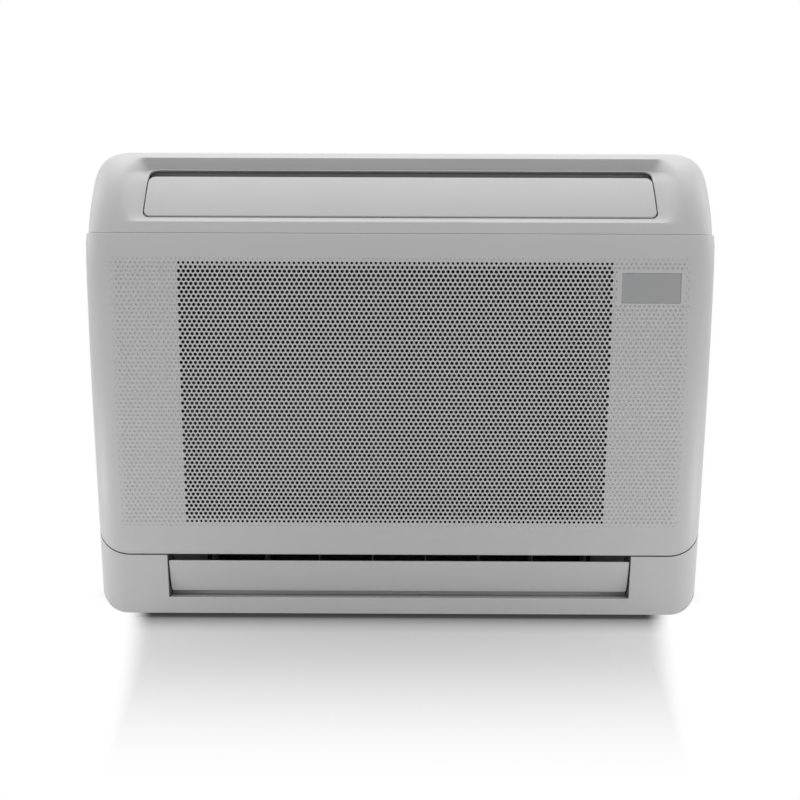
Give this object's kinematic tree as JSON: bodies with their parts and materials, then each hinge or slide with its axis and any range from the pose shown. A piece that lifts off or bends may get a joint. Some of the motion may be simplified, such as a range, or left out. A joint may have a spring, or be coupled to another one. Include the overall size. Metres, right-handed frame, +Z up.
{
  "type": "air conditioner indoor unit",
  "caption": "Floor-standing console air conditioner: perforated hinged front panel, upper and lower outlets with swing flaps and vanes, centrifugal fan behind a finned coil.",
  "frame": {"origin": "on the floor, in the middle of the unit's width and depth", "axes": "+Z up, -Y towards the front panel, +X to the right seen from the front"},
  "size_m": [0.7974, 0.2, 0.621],
  "materials": {
    "casing_plastic": "satin, light warm grey",
    "frame_plastic": "satin grey",
    "window_plastic": "smooth, tinted grey",
    "duct_foam": "dull dark grey",
    "fan_plastic": "satin near black",
    "vane_plastic": "satin dark grey",
    "filter_net": "dull dark grey net",
    "fin_aluminium": "bright mill finish",
    "pipe_copper": "bright drawn copper",
    "brass": "turned",
    "zinc_steel": "zinc plated",
    "board_green": "solder mask",
    "black_plastic": "satin black"
  },
  "bodies": {
    "casing": {"circuit_board": "board_green", "coil_plate_left": "pipe_copper", "coil_plate_right": "pipe_copper", "control_box": "frame_plastic", "control_box_cover": "zinc_steel", "display_box": "black_plastic", "drain_pan": "frame_plastic", "evaporator_fins": "fin_aluminium", "fan_housing": "duct_foam", "fan_motor": "black_plastic", "filter_left": "filter_net", "filter_right": "filter_net", "flare_nut_gas": "brass", "flare_nut_liquid": "brass", "frame_screw_1": "zinc_steel", "frame_screw_2": "zinc_steel", "frame_screw_3": "zinc_steel", "frame_screw_4": "zinc_steel", "front_casing": "casing_plastic", "gas_pipe": "pipe_copper", "inlet_ring": "duct_foam", "inner_frame": "frame_plastic", "liquid_pipe": "pipe_copper", "lower_duct": "duct_foam", "lower_flap_motor": "zinc_steel", "motor_clamp": "zinc_steel", "pipe_clamp": "black_plastic", "rear_chassis": "frame_plastic", "terminal_block": "black_plastic", "upper_duct": "duct_foam", "upper_flap_motor": "zinc_steel", "wall_plate": "zinc_steel"},
    "panel": {"front_panel": "casing_plastic", "display_window": "window_plastic"},
    "catch_left": {"panel_catch_left": "casing_plastic"},
    "catch_right": {"panel_catch_right": "casing_plastic"},
    "upper_flap": {"upper_flap": "casing_plastic"},
    "lower_flap": {"lower_flap": "casing_plastic"},
    "fan": {"fan_wheel": "fan_plastic", "fan_nut": "zinc_steel", "motor_shaft": "zinc_steel"},
    "upper_link": {"upper_vane_link": "vane_plastic"},
    "lower_link": {"lower_vane_link": "vane_plastic"},
    "upper_vane_1_body": {"upper_vane_1": "vane_plastic"},
    "upper_vane_2_body": {"upper_vane_2": "vane_plastic"},
    "upper_vane_3_body": {"upper_vane_3": "vane_plastic"},
    "upper_vane_4_body": {"upper_vane_4": "vane_plastic"},
    "upper_vane_5_body": {"upper_vane_5": "vane_plastic"},
    "upper_vane_6_body": {"upper_vane_6": "vane_plastic"},
    "lower_vane_1_body": {"lower_vane_1": "vane_plastic"},
    "lower_vane_2_body": {"lower_vane_2": "vane_plastic"},
    "lower_vane_3_body": {"lower_vane_3": "vane_plastic"},
    "lower_vane_4_body": {"lower_vane_4": "vane_plastic"},
    "lower_vane_5_body": {"lower_vane_5": "vane_plastic"},
    "lower_vane_6_body": {"lower_vane_6": "vane_plastic"},
    "lower_vane_7_body": {"lower_vane_7": "vane_plastic"},
    "lower_vane_8_body": {"lower_vane_8": "vane_plastic"}
  },
  "joints": [
    {"name": "panel_hinge", "type": "hinge", "parent": "casing", "child": "panel", "pos_m": [0, -0.08017, 0.0912], "axis": [1, 0, 0], "range_deg": [0, 25]},
    {"name": "catch_left_press", "type": "slide", "parent": "panel", "child": "catch_left", "axis": [1, 0, 0], "range_m": [0, 0.0025], "stiffness_N_per_m": 400},
    {"name": "catch_right_press", "type": "slide", "parent": "panel", "child": "catch_right", "axis": [-1, 0, 0], "range_m": [0, 0.0025], "stiffness_N_per_m": 400},
    {"name": "upper_flap_hinge", "type": "hinge", "parent": "casing", "child": "upper_flap", "pos_m": [0, -0.07126, 0.5327], "axis": [1, 0, 0], "range_deg": [0, 70]},
    {"name": "lower_flap_hinge", "type": "hinge", "parent": "casing", "child": "lower_flap", "pos_m": [0, -0.06496, 0.0451], "axis": [1, 0, 0], "range_deg": [0, 75]},
    {"name": "fan_spin", "type": "hinge", "parent": "casing", "child": "fan", "pos_m": [-0.01, 0, 0.3], "axis": [0, 1, 0], "continuous": true},
    {"name": "upper_vane_1_turn", "type": "hinge", "parent": "casing", "child": "upper_vane_1_body", "pos_m": [-0.26, -0.022, 0.5538], "axis": [0, 0, 1], "range_deg": [-30, 30]},
    {"name": "upper_vane_2_turn", "type": "hinge", "parent": "casing", "child": "upper_vane_2_body", "pos_m": [-0.156, -0.022, 0.5538], "axis": [0, 0, 1], "range_deg": [-30, 30]},
    {"name": "upper_vane_3_turn", "type": "hinge", "parent": "casing", "child": "upper_vane_3_body", "pos_m": [-0.052, -0.022, 0.5538], "axis": [0, 0, 1], "range_deg": [-30, 30]},
    {"name": "upper_vane_4_turn", "type": "hinge", "parent": "casing", "child": "upper_vane_4_body", "pos_m": [0.052, -0.022, 0.5538], "axis": [0, 0, 1], "range_deg": [-30, 30]},
    {"name": "upper_vane_5_turn", "type": "hinge", "parent": "casing", "child": "upper_vane_5_body", "pos_m": [0.156, -0.022, 0.5538], "axis": [0, 0, 1], "range_deg": [-30, 30]},
    {"name": "upper_vane_6_turn", "type": "hinge", "parent": "casing", "child": "upper_vane_6_body", "pos_m": [0.26, -0.022, 0.5538], "axis": [0, 0, 1], "range_deg": [-30, 30]},
    {"name": "upper_link_pivot", "type": "hinge", "parent": "upper_vane_1_body", "child": "upper_link", "pos_m": [-0.26, 0, 0.5135], "axis": [0, 0, 1], "range_deg": [-30, 30]},
    {"name": "lower_vane_1_turn", "type": "hinge", "parent": "casing", "child": "lower_vane_1_body", "pos_m": [-0.252, -0.034, 0.058], "axis": [0, 0, 1], "range_deg": [-30, 30]},
    {"name": "lower_vane_2_turn", "type": "hinge", "parent": "casing", "child": "lower_vane_2_body", "pos_m": [-0.18, -0.034, 0.058], "axis": [0, 0, 1], "range_deg": [-30, 30]},
    {"name": "lower_vane_3_turn", "type": "hinge", "parent": "casing", "child": "lower_vane_3_body", "pos_m": [-0.108, -0.034, 0.058], "axis": [0, 0, 1], "range_deg": [-30, 30]},
    {"name": "lower_vane_4_turn", "type": "hinge", "parent": "casing", "child": "lower_vane_4_body", "pos_m": [-0.036, -0.034, 0.058], "axis": [0, 0, 1], "range_deg": [-30, 30]},
    {"name": "lower_vane_5_turn", "type": "hinge", "parent": "casing", "child": "lower_vane_5_body", "pos_m": [0.036, -0.034, 0.058], "axis": [0, 0, 1], "range_deg": [-30, 30]},
    {"name": "lower_vane_6_turn", "type": "hinge", "parent": "casing", "child": "lower_vane_6_body", "pos_m": [0.108, -0.034, 0.058], "axis": [0, 0, 1], "range_deg": [-30, 30]},
    {"name": "lower_vane_7_turn", "type": "hinge", "parent": "casing", "child": "lower_vane_7_body", "pos_m": [0.18, -0.034, 0.058], "axis": [0, 0, 1], "range_deg": [-30, 30]},
    {"name": "lower_vane_8_turn", "type": "hinge", "parent": "casing", "child": "lower_vane_8_body", "pos_m": [0.252, -0.034, 0.058], "axis": [0, 0, 1], "range_deg": [-30, 30]},
    {"name": "lower_link_pivot", "type": "hinge", "parent": "lower_vane_1_body", "child": "lower_link", "pos_m": [-0.252, -0.023, 0.0293], "axis": [0, 0, 1], "range_deg": [-30, 30]}
  ],
  "couplings": [
    {"joint": "upper_vane_2_turn", "follows": "upper_vane_1_turn", "ratio": 1},
    {"joint": "upper_vane_3_turn", "follows": "upper_vane_1_turn", "ratio": 1},
    {"joint": "upper_vane_4_turn", "follows": "upper_vane_1_turn", "ratio": 1},
    {"joint": "upper_vane_5_turn", "follows": "upper_vane_1_turn", "ratio": 1},
    {"joint": "upper_vane_6_turn", "follows": "upper_vane_1_turn", "ratio": 1},
    {"joint": "upper_link_pivot", "follows": "upper_vane_1_turn", "ratio": -1},
    {"joint": "lower_vane_2_turn", "follows": "lower_vane_1_turn", "ratio": 1},
    {"joint": "lower_vane_3_turn", "follows": "lower_vane_1_turn", "ratio": 1},
    {"joint": "lower_vane_4_turn", "follows": "lower_vane_1_turn", "ratio": 1},
    {"joint": "lower_vane_5_turn", "follows": "lower_vane_1_turn", "ratio": 1},
    {"joint": "lower_vane_6_turn", "follows": "lower_vane_1_turn", "ratio": 1},
    {"joint": "lower_vane_7_turn", "follows": "lower_vane_1_turn", "ratio": 1},
    {"joint": "lower_vane_8_turn", "follows": "lower_vane_1_turn", "ratio": 1},
    {"joint": "lower_link_pivot", "follows": "lower_vane_1_turn", "ratio": -1}
  ]
}
